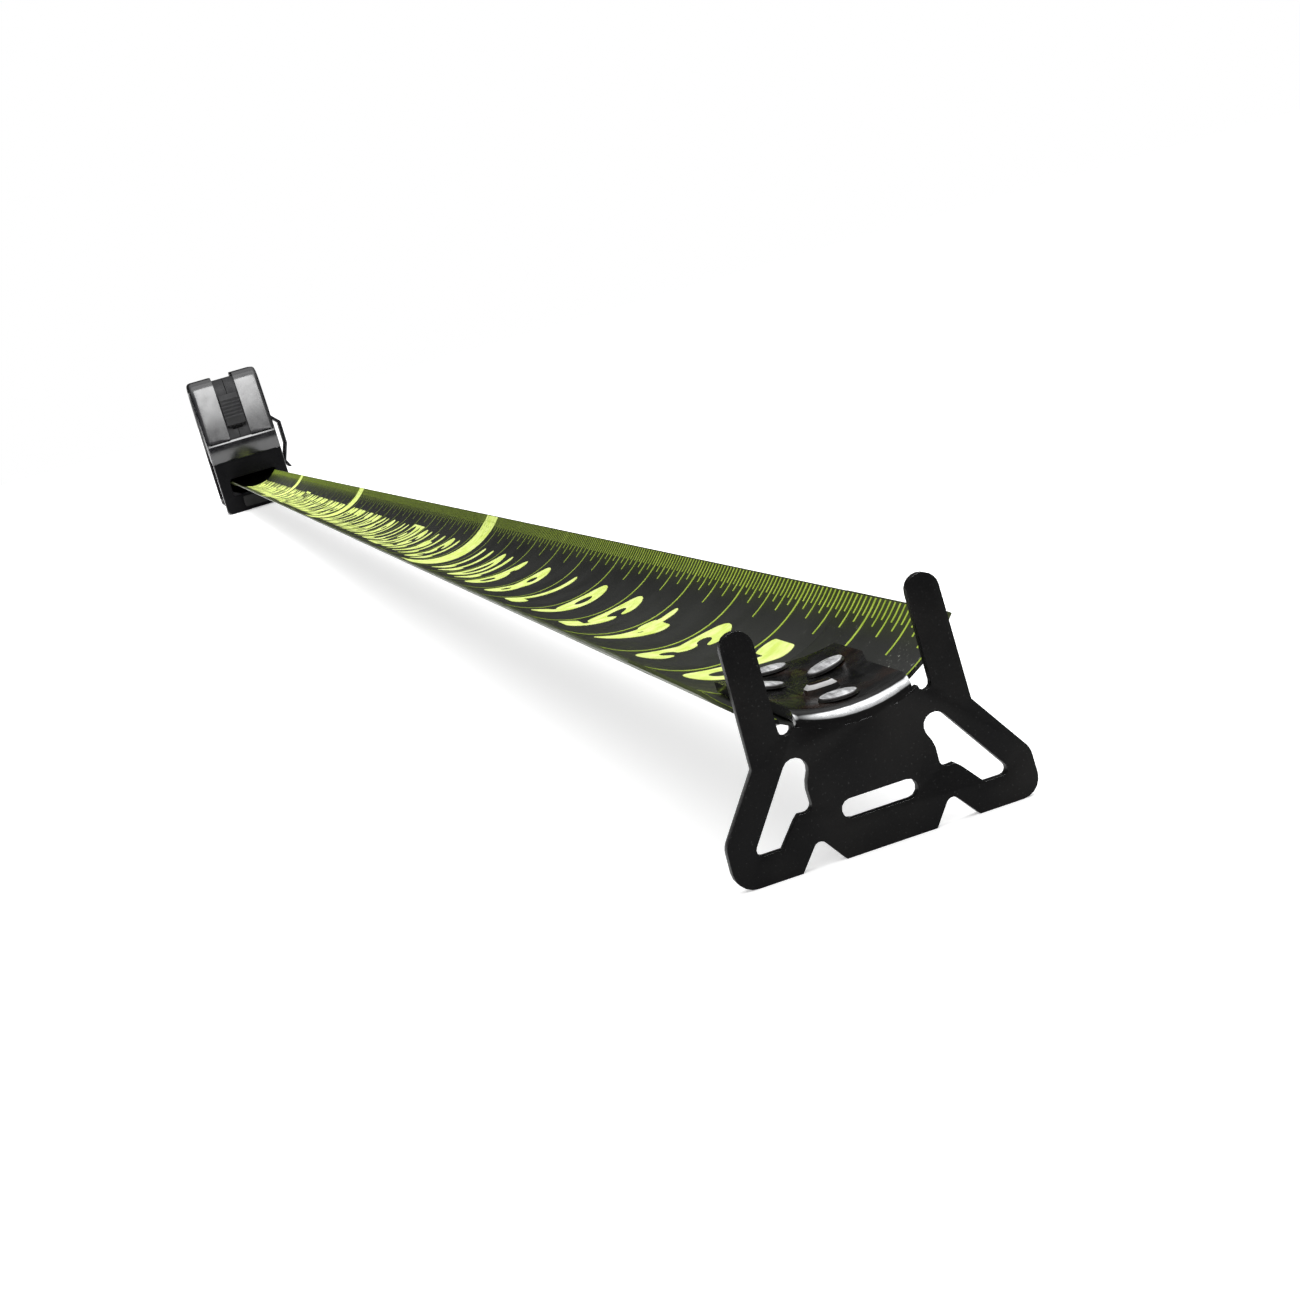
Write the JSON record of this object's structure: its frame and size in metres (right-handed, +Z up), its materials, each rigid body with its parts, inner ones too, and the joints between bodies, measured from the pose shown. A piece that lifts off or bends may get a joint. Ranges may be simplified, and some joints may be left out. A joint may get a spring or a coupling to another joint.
{
  "type": "tape measure",
  "caption": "Black spring-return tape measure with its curved printed blade drawn out and a wide pronged end hook.",
  "frame": {"origin": "middle of the base of the case, on the surface it stands on", "axes": "+X along the blade from the case to the hook, +Z up, +Y towards the belt clip's side"},
  "size_m": [1.2249, 0.0455, 0.0786],
  "materials": {
    "shell": "fine-textured black ABS",
    "rail": "smooth glossy black overmould",
    "trim": "plain black",
    "rubber": "soft matt black",
    "lock": "ribbed dark grey grip",
    "nylon": "dark nylon",
    "inner_plastic": "dark grey acetal",
    "spring_steel": "bright spring steel strip",
    "blade": "black lacquered steel with lime print",
    "hook": "black powder coat, bright at the bend",
    "rivet": "bright domed steel",
    "clip": "blackened spring steel",
    "screw": "dark zinc",
    "badge": "dark grey plastic disc with no marking"
  },
  "bodies": {
    "case": {"case_left": "shell", "case_right": "shell", "rail_left": "rail", "rail_right": "rail", "chin_plate": "rail", "mouth_frame": "trim", "hook_bumper": "rubber", "base_pad": "rubber", "blade_guide": "nylon", "detent_spring": "spring_steel", "center_post": "inner_plastic", "post_screw": "screw", "thrust_washer_left": "nylon", "thrust_washer_right": "nylon", "blade_span": "blade", "belt_clip": "clip", "belt_clip_screw": "screw", "case_screw_1": "screw", "case_screw_2": "screw", "case_screw_3": "screw", "case_screw_4": "screw", "side_badge": "badge"},
    "lock": {"thumb_lock": "lock", "brake_arm": "nylon"},
    "reel": {"reel_drum": "inner_plastic", "drum_cover": "inner_plastic", "power_spring": "spring_steel", "blade_coil": "blade"},
    "blade_end": {"blade_tip": "blade", "hook_backplate": "hook", "hook_rivet_1": "rivet", "hook_rivet_2": "rivet", "hook_rivet_3": "rivet", "hook_rivet_4": "rivet"},
    "hook": {"hook_plate": "hook"}
  },
  "joints": [
    {"name": "blade_slide", "type": "slide", "parent": "case", "child": "blade_end", "axis": [-1, 0, 0], "range_m": [0, 1.1412], "deforming": ["blade_span"]},
    {"name": "hook_play", "type": "slide", "parent": "blade_end", "child": "hook", "axis": [1, 0, 0], "range_m": [0, 0.0011]},
    {"name": "lock_slide", "type": "slide", "parent": "case", "child": "lock", "axis": [0.3562, 0, -0.9344], "range_m": [0, 0.007]},
    {"name": "reel_spin", "type": "hinge", "parent": "case", "child": "reel", "pos_m": [-0.001, 0, 0.0445], "axis": [0, 1, 0], "range_deg": [0, 3000]}
  ],
  "couplings": [
    {"joint": "reel_spin", "follows": "blade_slide", "rad_per_m": 40.8}
  ]
}
